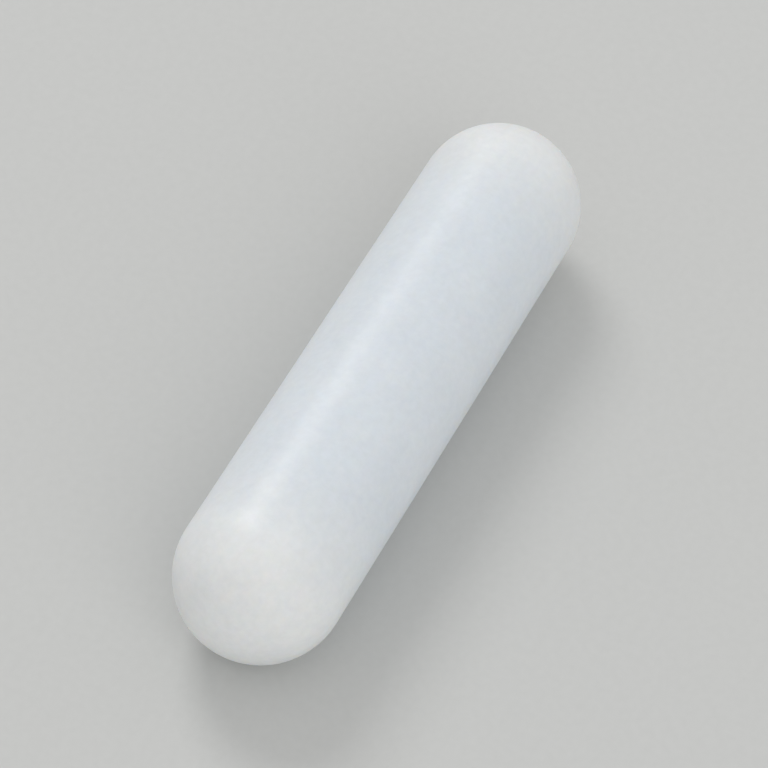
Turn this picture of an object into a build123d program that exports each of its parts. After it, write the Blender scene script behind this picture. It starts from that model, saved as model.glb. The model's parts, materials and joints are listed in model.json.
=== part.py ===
from build123d import *
import os

# A magnetic stir bar of the plain cylindrical kind, with no ring round its middle.
# A ground bar magnet is sealed inside one white PTFE jacket that ends in a dome at each tip.
# The bar lies along X with its middle at the origin. In use it spins about Z, which is up.
# All lengths are in millimetres.

# Jacket: the white outside of the bar
BAR_LENGTH = 30.0  # from tip to tip
BAR_DIAMETER = 7.0  # of the straight barrel
DOME_DEPTH = 3.5  # how far each dome reaches along the bar
SIDE_WALL = 1.0  # PTFE between the barrel and the magnet's side
TIP_WALL = 3.0  # PTFE between each tip and the magnet's end

# Magnet: its length and diameter are what the walls of the jacket leave
MAGNET_BEVEL = 0.4  # ground off both rims, along and across the bar


def make_bar_magnet():
    """The magnet: a ground cylinder along X. Its rims are bevelled, so that they don't cut the jacket."""
    diameter = BAR_DIAMETER - 2 * SIDE_WALL
    length = BAR_LENGTH - 2 * TIP_WALL
    rod = Plane.YZ * Cylinder(diameter / 2, length)
    rims = rod.edges().filter_by(GeomType.CIRCLE)
    return chamfer(rims, MAGNET_BEVEL)


def make_ptfe_jacket(magnet):
    """The jacket: one moulding, sintered round the magnet, so that its cavity has the magnet's form."""
    radius = BAR_DIAMETER / 2
    tip = BAR_LENGTH / 2
    shoulder = tip - DOME_DEPTH

    # Each dome's outline is a quarter of an ellipse, in line with the barrel and square to the axis.
    # The middle weight of the conic curve that is exactly that quarter is the cosine of 45 degrees.
    conic_weights = [1, 0.5**0.5, 1]
    dome = Bezier((shoulder, radius), (tip, radius), (tip, 0), weights=conic_weights)
    far_dome = mirror(dome, Plane.YZ)
    barrel = Line(far_dome @ 0, dome @ 0)
    axis = Line(far_dome @ 1, dome @ 1)
    half_section = make_face([dome, axis, far_dome, barrel])

    return revolve(half_section, Axis.X) - magnet


bar_magnet = make_bar_magnet()
nodes = {
    "ptfe_jacket": make_ptfe_jacket(bar_magnet),
    "bar_magnet": bar_magnet,
}

os.makedirs("parts", exist_ok=True)
for name, solid in nodes.items():
    export_step(solid, f"parts/{name}.step")
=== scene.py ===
import json
import math

import bmesh
import bpy
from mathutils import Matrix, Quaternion, Vector


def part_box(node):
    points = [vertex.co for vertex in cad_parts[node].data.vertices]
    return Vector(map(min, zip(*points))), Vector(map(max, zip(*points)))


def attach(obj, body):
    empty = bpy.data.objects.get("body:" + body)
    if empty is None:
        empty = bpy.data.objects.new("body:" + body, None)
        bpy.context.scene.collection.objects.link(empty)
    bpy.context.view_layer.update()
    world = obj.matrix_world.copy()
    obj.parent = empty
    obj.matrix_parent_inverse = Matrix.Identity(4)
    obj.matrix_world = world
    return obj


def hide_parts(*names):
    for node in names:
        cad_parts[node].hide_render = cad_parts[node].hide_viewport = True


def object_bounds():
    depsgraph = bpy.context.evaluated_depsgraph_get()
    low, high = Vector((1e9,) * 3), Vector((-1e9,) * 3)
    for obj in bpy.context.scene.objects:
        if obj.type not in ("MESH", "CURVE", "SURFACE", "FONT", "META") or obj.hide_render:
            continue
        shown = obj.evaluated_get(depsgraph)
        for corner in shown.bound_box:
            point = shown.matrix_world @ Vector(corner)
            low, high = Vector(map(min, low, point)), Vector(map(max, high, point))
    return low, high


MM = 0.001
WHITE = (1, 1, 1, 1)

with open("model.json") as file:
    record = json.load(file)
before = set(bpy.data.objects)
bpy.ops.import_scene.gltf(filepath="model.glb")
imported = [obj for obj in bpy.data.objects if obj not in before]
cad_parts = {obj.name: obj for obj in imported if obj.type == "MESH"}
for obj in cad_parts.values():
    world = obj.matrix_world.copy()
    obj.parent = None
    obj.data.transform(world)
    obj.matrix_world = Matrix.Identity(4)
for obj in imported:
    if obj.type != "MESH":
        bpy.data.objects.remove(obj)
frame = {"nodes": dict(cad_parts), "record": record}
cad_low, cad_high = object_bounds()

# Sizes of the bar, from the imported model, in metres
barrel = frame["record"]["mounts"][0]["dims"]
RADIUS = barrel["r_mm"] * MM
SHOULDER = barrel["length_mm"] * MM / 2
TIP = cad_high.x
magnet_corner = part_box("bar_magnet")[1]
MAGNET_TIP = magnet_corner.x
MAGNET_RADIUS = magnet_corner.y

# The jacket's mesh. Its cavity follows the magnet's bevel and stays just clear of the magnet.
ROUND_STEPS = 128
DOME_STEPS = 32
BARREL_STEPS = 25  # odd, because the two halves are mirrored about the middle of a step
CAVITY_BEVEL = 0.4 * MM
CAVITY_GAP = 0.01 * MM

# The UV map for baking the jacket's finish on: a strip for the outside and one for the cavity
BAKE_MAP = "OFBake"
STRIP_FOOT = 0.01
STRIP_HEAD = 0.99
OUTSIDE_STRIP = (0.01, 0.70)  # its sides, where the two edges of the cut lie
CAVITY_STRIP = (0.99, 0.73)  # from right to left, because the cavity's faces look inward

# Nearly all of a noise texture's values lie between these two
NOISE_RANGE = (0.3, 0.7)

# Sockets of a colour mix, which go by number because those of other kinds of mix have the same names
MIX_FACTOR = 0
MIX_FIRST = 6
MIX_SECOND = 7
MIX_RESULT = 2

# PTFE: cooler where it is thin over the dark magnet, and white where it is solid in the tips
PTFE_OVER_MAGNET = (0.80, 0.845, 0.885, 1)
PTFE_SOLID = (0.88, 0.895, 0.895, 1)
WHITENS_FROM = 5.0 * MM  # short of the magnet's end
WHITE_BY = 1.0 * MM  # short of the tip
# Soft clouds and the fine grain of the sintered powder, each with its darkest tint
CLOUD_SIZE = 2.4 * MM
CLOUD_TINT = (0.962, 0.966, 0.972, 1)
GRAIN_SIZE = 0.33 * MM
GRAIN_TINT = (0.951, 0.954, 0.957, 1)
# A satin skin over long, shallow swells
SKIN_SIZE = 0.24 * MM
SKIN_SHARE = 0.08
SWELL_SIZE = 1.8 * MM
SWELL_DEPTH = 0.06 * MM
SWELL_STRENGTH = 0.6
PTFE_ROUGHNESS = (0.29, 0.37)
PTFE_IOR = 1.35
# How deep light goes in, and the shares of that depth for red, green and blue
SCATTER_DEPTH = 1.0 * MM
SCATTER_SHARES = (1.0, 0.85, 0.7)

# Magnet alloy: grinding lines round the bar over a cast grain
ALLOY_DARK = (0.27, 0.27, 0.28, 1)
ALLOY_LIGHT = (0.42, 0.42, 0.43, 1)
ALLOY_GRAIN_SIZE = 1.1 * MM
LINE_SIZE = 1.4 * MM
LINE_SQUEEZE = (40.0, 1.0, 1.0)
LINE_SHARE = 0.6
LINE_DEPTH = 0.01 * MM
LINE_STRENGTH = 0.3
ALLOY_NOISE_RANGE = (0.35, 0.65)
ALLOY_ROUGHNESS = (0.3, 0.5)

# Floor: plain pale paper
FLOOR_SIZE = 4.0
PAPER_DARK = (0.620, 0.625, 0.612, 1)
PAPER_LIGHT = (0.635, 0.640, 0.627, 1)
PAPER_ROUGHNESS = 0.85
FIBRE_SIZE = 0.4 * MM

# Camera: the photograph's place with respect to the bar, with a longer lens
CAMERA_DISTANCE = 0.192
CAMERA_ELEVATION = math.radians(47.8)
CAMERA_TURN = math.radians(21.6)
CAMERA_ROLL = math.radians(4.5)
CAMERA_NEAREST = 0.005
FOCAL_PIXELS = 4700.0
FRAME_PIXELS = 768.0
SENSOR_WIDTH = 36.0

# Directions as the camera sees them, the first two level
FORWARD = Vector((math.cos(CAMERA_TURN), math.sin(CAMERA_TURN), 0))
RIGHT = Vector((math.sin(CAMERA_TURN), -math.cos(CAMERA_TURN), 0))
UP = Vector((0, 0, 1))

# Lights: their places as the camera sees them and their sizes in metres, and their power in watts
KEY_LIGHT = {"sideways": -0.14, "ahead": 0.31, "height": 0.36, "size": 0.22, "power": 0.66}
FILL_LIGHT = {"sideways": 0.20, "ahead": -0.39, "height": 0.29, "size": 0.45, "power": 0.60}
SURROUND_STRENGTH = 0.60

SCENE = bpy.context.scene


def strip_heights(profile):
    """How high each point of a profile lies on the bake map, in step with the length from the first."""
    lengths = [math.dist(here, there) for here, there in zip(profile, profile[1:])]
    drop = (STRIP_HEAD - STRIP_FOOT) / sum(lengths)
    heights = [STRIP_HEAD]
    for length in lengths:
        heights.append(heights[-1] - drop * length)
    return heights


def add_ring(bm, x, radius):
    """Adds one ring of vertices about X, from the underside round. The first one comes again at the end."""
    ring = []
    for k in range(ROUND_STEPS):
        angle = 2 * math.pi * k / ROUND_STEPS
        place = (x, radius * math.sin(angle), -radius * math.cos(angle))
        ring.append(bm.verts.new(place))
    return ring + ring[:1]


def revolve(bm, profile, strip, inward=False):
    """Adds a closed surface of revolution about X. The profile runs from tip to tip, as (x, radius).

    On the bake map it is cut open along its underside and laid flat between the sides of the strip.
    """
    bake_map = bm.loops.layers.uv[BAKE_MAP]
    heights = strip_heights(profile)
    left, right = strip
    faces = []

    def add_face(*corners):
        """Adds a face. A corner is a vertex, its steps round from the cut and its point of the profile."""
        face = bm.faces.new([vertex for vertex, steps, point in corners])
        for loop, (vertex, steps, point) in zip(face.loops, corners):
            across = left + (right - left) * steps / ROUND_STEPS
            loop[bake_map].uv = (across, heights[point])
        face.smooth = True
        faces.append(face)

    rings = [add_ring(bm, x, radius) for x, radius in profile[1:-1]]
    first = bm.verts.new((profile[0][0], 0, 0))
    last = bm.verts.new((profile[-1][0], 0, 0))
    end = len(profile) - 1
    for k in range(ROUND_STEPS):
        after = k + 1
        between = k + 0.5
        add_face((first, between, 0), (rings[0][after], after, 1), (rings[0][k], k, 1))
        add_face((last, between, end), (rings[-1][k], k, end - 1), (rings[-1][after], after, end - 1))
        for point, (here, there) in enumerate(zip(rings, rings[1:]), start=1):
            add_face(
                (here[k], k, point),
                (here[after], after, point),
                (there[after], after, point + 1),
                (there[k], k, point + 1),
            )
    bmesh.ops.recalc_face_normals(bm, faces=faces)
    if inward:
        bmesh.ops.reverse_faces(bm, faces=faces)


def mirrored(half):
    """A whole profile, from the half between one tip and the middle."""
    return half + [(-x, radius) for x, radius in reversed(half)]


def jacket_profile():
    """The bar's outside: a dome that is a quarter of an ellipse, then half of the straight barrel."""
    half = []
    for k in range(DOME_STEPS):
        angle = math.pi / 2 * k / DOME_STEPS
        x = SHOULDER + (TIP - SHOULDER) * math.cos(angle)
        half.append((x, RADIUS * math.sin(angle)))
    for k in range((BARREL_STEPS + 1) // 2):
        half.append((SHOULDER * (1 - 2 * k / BARREL_STEPS), RADIUS))
    return mirrored(half)


def cavity_profile():
    """The sealed hollow that the magnet fills, with its bevelled rims."""
    tip = MAGNET_TIP + CAVITY_GAP
    radius = MAGNET_RADIUS + CAVITY_GAP
    return mirrored([(tip, 0.0), (tip, radius - CAVITY_BEVEL), (tip - CAVITY_BEVEL, radius)])


class Nodes:
    """A material's node tree, with short ways to add to it."""

    def __init__(self, name):
        self.material = bpy.data.materials.new(name)
        self.material.use_nodes = True
        self.tree = self.material.node_tree
        self.shader = self.tree.nodes["Principled BSDF"]
        self.place = self.add("ShaderNodeTexCoord").outputs["Object"]

    def feed(self, socket, value):
        """Links another node's output to a socket, or sets the socket to a plain value."""
        if isinstance(value, bpy.types.NodeSocket):
            self.tree.links.new(value, socket)
        else:
            socket.default_value = value

    def add(self, kind, inputs=(), **settings):
        """Adds a node, with its inputs fed and its settings made."""
        node = self.tree.nodes.new(kind)
        for key, value in settings.items():
            setattr(node, key, value)
        for key, value in dict(inputs).items():
            self.feed(node.inputs[key], value)
        return node

    def set(self, **sockets):
        """Feeds the shader's own sockets."""
        for key, value in sockets.items():
            self.feed(self.shader.inputs[key.replace("_", " ")], value)

    def noise(self, size, detail=2.0, roughness=0.5, place=None):
        """A noise whose largest features have about the given size."""
        inputs = {
            "Vector": place or self.place,
            "Scale": 1 / size,
            "Detail": detail,
            "Roughness": roughness,
        }
        return self.add("ShaderNodeTexNoise", inputs).outputs["Fac"]

    def spread(self, value, start, end=(0.0, 1.0), shape="LINEAR"):
        """Takes a value from the range start to the range end."""
        inputs = {
            "Value": value,
            "From Min": start[0],
            "From Max": start[1],
            "To Min": end[0],
            "To Max": end[1],
        }
        node = self.add("ShaderNodeMapRange", inputs, interpolation_type=shape)
        return node.outputs["Result"]

    def calculate(self, operation, a, b=0.0):
        """One step of arithmetic."""
        node = self.add("ShaderNodeMath", {0: a, 1: b}, operation=operation)
        return node.outputs["Value"]

    def weighed(self, a, b, share):
        """The sum of two values, with a share of the first and the rest of the second."""
        first = self.calculate("MULTIPLY", a, share)
        second = self.calculate("MULTIPLY", b, 1 - share)
        return self.calculate("ADD", first, second)

    def mix(self, factor, a, b, blend="MIX"):
        """A mix of two colours."""
        inputs = {MIX_FACTOR: factor, MIX_FIRST: a, MIX_SECOND: b}
        node = self.add("ShaderNodeMix", inputs, data_type="RGBA", blend_type=blend)
        return node.outputs[MIX_RESULT]

    def tint(self, colour, factor, darkest):
        """Multiplies a colour by a tint that goes from the darkest to white."""
        return self.mix(1.0, colour, self.mix(factor, darkest, WHITE), blend="MULTIPLY")

    def bump(self, height, strength, distance):
        """Gives the surface a fine relief."""
        inputs = {"Height": height, "Strength": strength, "Distance": distance}
        self.set(Normal=self.add("ShaderNodeBump", inputs).outputs["Normal"])


def ptfe():
    """White PTFE: cooler over the magnet, whiter in the tips, faintly cloudy, with a waxy satin skin."""
    nodes = Nodes("ptfe")
    along = nodes.add("ShaderNodeSeparateXYZ", {"Vector": nodes.place}).outputs["X"]
    whitening = (MAGNET_TIP - WHITENS_FROM, TIP - WHITE_BY)
    solid = nodes.spread(nodes.calculate("ABSOLUTE", along), whitening, shape="SMOOTHSTEP")
    cloud = nodes.spread(nodes.noise(CLOUD_SIZE, detail=3.0), NOISE_RANGE)
    grain = nodes.spread(nodes.noise(GRAIN_SIZE, detail=3.0, roughness=0.6), NOISE_RANGE)
    body = nodes.mix(solid, PTFE_OVER_MAGNET, PTFE_SOLID)
    nodes.set(Base_Color=nodes.tint(nodes.tint(body, cloud, CLOUD_TINT), grain, GRAIN_TINT))

    skin = nodes.noise(SKIN_SIZE, detail=3.0, roughness=0.6)
    nodes.set(Roughness=nodes.spread(skin, NOISE_RANGE, PTFE_ROUGHNESS), IOR=PTFE_IOR)
    nodes.bump(nodes.weighed(skin, nodes.noise(SWELL_SIZE), SKIN_SHARE), SWELL_STRENGTH, SWELL_DEPTH)

    nodes.set(Subsurface_Weight=1.0, Subsurface_Scale=SCATTER_DEPTH)
    nodes.set(Subsurface_Radius=SCATTER_SHARES)
    return nodes.material


def ground_alloy():
    """Cast magnet alloy, ground all round: dull grey metal with fine lines round the bar."""
    nodes = Nodes("magnet_alloy")
    squeezed = nodes.add("ShaderNodeMapping", {"Vector": nodes.place, "Scale": LINE_SQUEEZE})
    lines = nodes.noise(LINE_SIZE, detail=4.0, roughness=0.6, place=squeezed.outputs["Vector"])
    tone = nodes.weighed(lines, nodes.noise(ALLOY_GRAIN_SIZE, detail=3.0), LINE_SHARE)
    shade = nodes.spread(tone, ALLOY_NOISE_RANGE)
    nodes.set(Base_Color=nodes.mix(shade, ALLOY_DARK, ALLOY_LIGHT), Metallic=1.0)
    nodes.set(Roughness=nodes.spread(lines, ALLOY_NOISE_RANGE, ALLOY_ROUGHNESS))
    nodes.bump(lines, LINE_STRENGTH, LINE_DEPTH)
    return nodes.material


def paper():
    """Plain pale paper with a faint fibre."""
    nodes = Nodes("floor")
    fibre = nodes.spread(nodes.noise(FIBRE_SIZE, detail=3.0), NOISE_RANGE)
    nodes.set(Base_Color=nodes.mix(fibre, PAPER_DARK, PAPER_LIGHT), Roughness=PAPER_ROUGHNESS)
    return nodes.material


def make_jacket():
    """The white outside of the bar, closed round its sealed cavity."""
    bm = bmesh.new()
    bm.loops.layers.uv.new(BAKE_MAP)
    revolve(bm, jacket_profile(), OUTSIDE_STRIP)
    revolve(bm, cavity_profile(), CAVITY_STRIP, inward=True)
    mesh = bpy.data.meshes.new("jacket")
    bm.to_mesh(mesh)
    bm.free()
    mesh.materials.append(ptfe())
    jacket = bpy.data.objects.new("jacket", mesh)
    SCENE.collection.objects.link(jacket)
    return jacket


def make_floor():
    """The plane that the bar lies on."""
    bpy.ops.mesh.primitive_plane_add(size=FLOOR_SIZE, location=-RADIUS * UP)
    floor = bpy.context.object
    floor.name = "floor"
    floor.data.materials.append(paper())
    return floor


def make_camera():
    """A camera that looks down at the bar's middle, rolled a little about its own line of sight."""
    away = UP * math.sin(CAMERA_ELEVATION) - FORWARD * math.cos(CAMERA_ELEVATION)
    data = bpy.data.cameras.new("camera")
    data.sensor_width = SENSOR_WIDTH
    data.lens = SENSOR_WIDTH * FOCAL_PIXELS / FRAME_PIXELS
    data.clip_start = CAMERA_NEAREST
    camera = bpy.data.objects.new("camera", data)
    camera.location = away * CAMERA_DISTANCE
    facing = (-away).to_track_quat("-Z", "Y") @ Quaternion(UP, CAMERA_ROLL)
    camera.rotation_euler = facing.to_euler()
    SCENE.collection.objects.link(camera)
    return camera


def make_softbox(name, sideways, ahead, height, size, power):
    """A round soft light that faces the bar."""
    place = sideways * RIGHT + ahead * FORWARD + height * UP
    data = bpy.data.lights.new(name, "AREA")
    data.shape = "DISK"
    data.size = size
    data.energy = power
    lamp = bpy.data.objects.new(name, data)
    lamp.location = place
    lamp.rotation_euler = (-place).to_track_quat("-Z", "Y").to_euler()
    SCENE.collection.objects.link(lamp)


def make_surround(strength):
    """Even white light from all round."""
    world = bpy.data.worlds.new("surround")
    world.use_nodes = True
    background = world.node_tree.nodes["Background"]
    background.inputs["Color"].default_value = WHITE
    background.inputs["Strength"].default_value = strength
    return world


# The bar
jacket = make_jacket()
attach(jacket, "root")
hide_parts("ptfe_jacket")
frame["nodes"]["bar_magnet"].material_slots[0].material = ground_alloy()

# The floor, the camera and the light: one soft source beyond the bar, and a wider one on the camera's side
make_floor()
SCENE.camera = make_camera()
make_softbox("key", **KEY_LIGHT)
make_softbox("fill", **FILL_LIGHT)
SCENE.world = make_surround(SURROUND_STRENGTH)
SCENE.view_settings.view_transform = "Standard"
